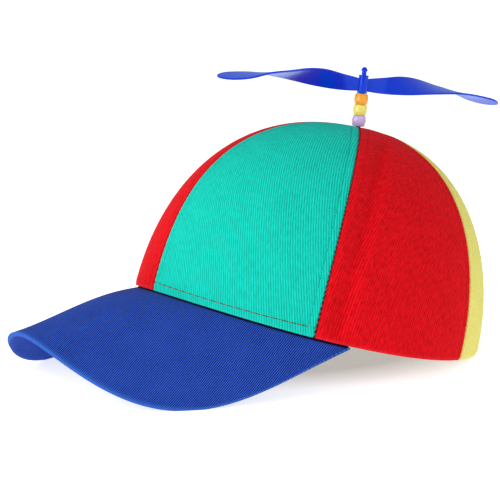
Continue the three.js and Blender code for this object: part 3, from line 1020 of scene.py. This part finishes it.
# %% [markdown]
# ## Light, floor and camera
#
# The cap stands on a white sweep that glows by itself. Its glow is weaker in an oval under the cap, as a
# painted shadow, and stronger away from the cap so that the sweep stays white to the edge of the picture.
# Large soft boxes light it from both sides. The camera looks at it from the wearer's left and a little
# above, with a long lens.

# %% Camera
CAMERA_AROUND = math.radians(56.804)
CAMERA_ABOVE = math.radians(9.619)
CAMERA_DISTANCE = 1083.596 * MM
CAMERA_LENS = 145.797
SENSOR_WIDTH = 36
NEAREST_SEEN = 0.01
LOOKS_AT = Vector((0, 3.4 * MM, 70 * MM))
SLIDE_RIGHT = -12.336 * MM
SLIDE_UP = -9.518 * MM


def towards(around, above):
    return Vector((math.sin(around) * math.cos(above), -math.cos(around) * math.cos(above), math.sin(above)))


back = towards(CAMERA_AROUND, CAMERA_ABOVE)
right = Vector((math.cos(CAMERA_AROUND), math.sin(CAMERA_AROUND), 0))
up = back.cross(right)
target = LOOKS_AT + SLIDE_RIGHT * right + SLIDE_UP * up
lens = bpy.data.cameras.new("camera")
lens.lens = CAMERA_LENS
lens.sensor_width = SENSOR_WIDTH
lens.clip_start = NEAREST_SEEN
camera = bpy.data.objects.new("camera", lens)
facing = Matrix((right, up, back)).transposed().to_4x4()
camera.matrix_world = Matrix.Translation(target + CAMERA_DISTANCE * back) @ facing
bpy.context.scene.collection.objects.link(camera)
bpy.context.scene.camera = camera
print("camera:", round(CAMERA_DISTANCE, 2), "m away with a", round(CAMERA_LENS), "mm lens")

# %% The floor
FLOOR_HALF = 12
FLOOR_GREY = "#e4e4e4"
# The oval of painted shadow: half width, half length and how far back its centre lies, then the glow inside
# and outside it and where it fades between them
FOOTPRINT_HALF_WIDTH = 0.055
FOOTPRINT_HALF_LENGTH = 0.1
FOOTPRINT_BACK = 0.035
GLOW_IN_PAINTED_SHADOW = 0.38
GLOW_AROUND = 0.74
GLOW_FROM = 0.7
GLOW_TO = 1.3

floor_bm = bmesh.new()
bmesh.ops.create_grid(floor_bm, x_segments=1, y_segments=1, size=FLOOR_HALF)
floor_mesh = bpy.data.meshes.new("floor")
floor_bm.to_mesh(floor_mesh)
floor_bm.free()
sweep, sweep_tree, sweep_shader = new_material("glowing_sweep_with_painted_shadow")
spot = add_node(sweep_tree, "ShaderNodeTexCoord").outputs["Object"]
footprints = add_node(
    sweep_tree, "ShaderNodeMapping",
    {
        "Vector": spot,
        "Location": (0, -FOOTPRINT_BACK / FOOTPRINT_HALF_LENGTH, 0),
        "Scale": (1 / FOOTPRINT_HALF_WIDTH, 1 / FOOTPRINT_HALF_LENGTH, 1),
    },
).outputs["Vector"]
away = add_node(sweep_tree, "ShaderNodeVectorMath", {0: footprints}, operation="LENGTH").outputs["Value"]
# Painted shadow: the sweep glows less inside the oval under the cap
glow = add_node(
    sweep_tree, "ShaderNodeMapRange",
    {"Value": away, "From Min": GLOW_FROM, "From Max": GLOW_TO, "To Min": GLOW_IN_PAINTED_SHADOW, "To Max": GLOW_AROUND},
)
sweep_tree.links.new(glow.outputs["Result"], sweep_shader.inputs["Emission Strength"])
sweep_shader.inputs["Base Color"].default_value = linear(FLOOR_GREY)
sweep_shader.inputs["Roughness"].default_value = 1.0
sweep_shader.inputs["Specular IOR Level"].default_value = 0.0
sweep_shader.inputs["Emission Color"].default_value = (1, 1, 1, 1)
floor_mesh.materials.append(sweep)
floor = bpy.data.objects.new("floor", floor_mesh)
bpy.context.scene.collection.objects.link(floor)
print("floor:", 2 * FLOOR_HALF, "m wide")

# %% The light
HORIZON = 0.33
ZENITH = 0.64

world = bpy.data.worlds.new("studio")
world.use_nodes = True
sky = world.node_tree
direction = add_node(sky, "ShaderNodeTexCoord").outputs["Generated"]
height = add_node(sky, "ShaderNodeSeparateXYZ", {0: direction}).outputs["Z"]
walls = add_node(sky, "ShaderNodeMapRange", {"Value": height, "To Min": HORIZON, "To Max": ZENITH})
sky.links.new(walls.outputs["Result"], sky.nodes["Background"].inputs["Strength"])
sky.nodes["Background"].inputs["Color"].default_value = (1, 1, 1, 1)
bpy.context.scene.world = world
bpy.context.scene.view_settings.view_transform = "Standard"

# Where each soft box stands: turn round the cap and height in degrees, then distance and size in metres
SOFT_BOXES = [
    {"name": "left_box", "around": 0, "above": 20, "away": 1.6, "size": 1.2, "watts": 20},
    {"name": "right_box", "around": 118, "above": 20, "away": 1.6, "size": 1.2, "watts": 4.5},
]
for box in SOFT_BOXES:
    lamp = bpy.data.lights.new(box["name"], "AREA")
    lamp.size = box["size"]
    lamp.energy = box["watts"]
    aim = towards(math.radians(box["around"]), math.radians(box["above"]))
    stand = bpy.data.objects.new(box["name"], lamp)
    turned = aim.to_track_quat("Z", "Y").to_matrix().to_4x4()
    stand.matrix_world = Matrix.Translation(target + box["away"] * aim) @ turned
    bpy.context.scene.collection.objects.link(stand)
print("soft boxes:", len(SOFT_BOXES))
